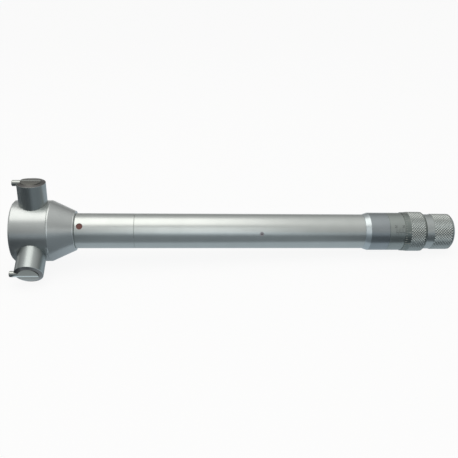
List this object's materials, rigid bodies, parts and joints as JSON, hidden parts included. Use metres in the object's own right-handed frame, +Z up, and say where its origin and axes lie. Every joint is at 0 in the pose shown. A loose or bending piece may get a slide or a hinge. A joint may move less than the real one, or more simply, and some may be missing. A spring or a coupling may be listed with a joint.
{
  "type": "inside micrometer",
  "caption": "Inside micrometer with radial anvils in a round head, a long extension tube, a graduated thimble and a knurled ratchet, for measuring deep bores.",
  "frame": {"origin": "middle of the length and width, at the height of the anvil rims that the instrument lies on", "axes": "+X along the instrument's axis from the measuring head to the ratchet, +Z up through the top anvil, +Y to the far side"},
  "size_m": [0.2856, 0.0652, 0.0581],
  "materials": {
    "satin_chrome": "satin chrome plate on turned steel",
    "hardened_steel": "hardened and ground steel",
    "hard_metal": "lapped hard metal",
    "ground_steel": "ground steel",
    "blackened_steel": "blackened steel",
    "spring_steel": "oiled spring wire",
    "bronze": "turned bronze",
    "red_lacquer": "sealing lacquer"
  },
  "bodies": {
    "frame": {"head_body": "satin_chrome", "front_cover": "satin_chrome", "head_screws": "blackened_steel", "anvil_keys": "hardened_steel", "ring_spring": "spring_steel", "taper_collar": "satin_chrome", "neck_tube": "satin_chrome", "neck_lock_screw": "blackened_steel", "lacquer_seal": "red_lacquer", "front_bush": "bronze", "rod_spring": "spring_steel", "coupling_sleeve": "hardened_steel", "coupling_lock_screw": "blackened_steel", "extension_tube": "satin_chrome", "centre_bush": "bronze", "bush_set_screw": "blackened_steel", "micrometer_body": "satin_chrome", "scale_sleeve": "satin_chrome", "spindle_nut": "bronze"},
    "push_train": {"expander_cone": "hardened_steel", "push_rod": "ground_steel", "spring_collar": "hardened_steel", "front_ball": "hard_metal", "extension_rod": "ground_steel", "rear_ball": "hard_metal"},
    "thimble_set": {"thimble": "satin_chrome", "spindle": "ground_steel", "ratchet_wheel": "hardened_steel", "ratchet_screw": "ground_steel"},
    "ratchet_set": {"ratchet_barrel": "satin_chrome", "ratchet_driver": "hardened_steel", "ratchet_spring": "spring_steel"},
    "plunger_1": {"anvil_1": "hardened_steel", "anvil_pin_1": "hard_metal"},
    "plunger_2": {"anvil_2": "hardened_steel", "anvil_pin_2": "hard_metal"},
    "plunger_3": {"anvil_3": "hardened_steel", "anvil_pin_3": "hard_metal"}
  },
  "joints": [
    {"name": "rod_travel", "type": "slide", "parent": "frame", "child": "push_train", "axis": [-1, 0, 0], "range_m": [-0.0065, 0.0065], "deforming": ["rod_spring"]},
    {"name": "thimble_turn", "type": "hinge", "parent": "push_train", "child": "thimble_set", "pos_m": [0.1234, 0, 0.0239], "axis": [-1, 0, 0], "range_deg": [-4680, 4680]},
    {"name": "ratchet_turn", "type": "hinge", "parent": "thimble_set", "child": "ratchet_set", "pos_m": [0.1234, 0, 0.0239], "axis": [-1, 0, 0], "continuous": true},
    {"name": "anvil_1_travel", "type": "slide", "parent": "frame", "child": "plunger_1", "axis": [0, 0, 1], "range_m": [-0.0033, 0.0033], "deforming": ["ring_spring"]},
    {"name": "anvil_2_travel", "type": "slide", "parent": "frame", "child": "plunger_2", "axis": [0, -0.866, -0.5], "range_m": [-0.0033, 0.0033], "deforming": ["ring_spring"]},
    {"name": "anvil_3_travel", "type": "slide", "parent": "frame", "child": "plunger_3", "axis": [0, 0.866, -0.5], "range_m": [-0.0033, 0.0033], "deforming": ["ring_spring"]}
  ],
  "couplings": [
    {"joint": "thimble_turn", "follows": "rod_travel", "rad_per_m": 12566},
    {"joint": "anvil_1_travel", "follows": "rod_travel", "ratio": 0.5},
    {"joint": "anvil_2_travel", "follows": "rod_travel", "ratio": 0.5},
    {"joint": "anvil_3_travel", "follows": "rod_travel", "ratio": 0.5}
  ]
}
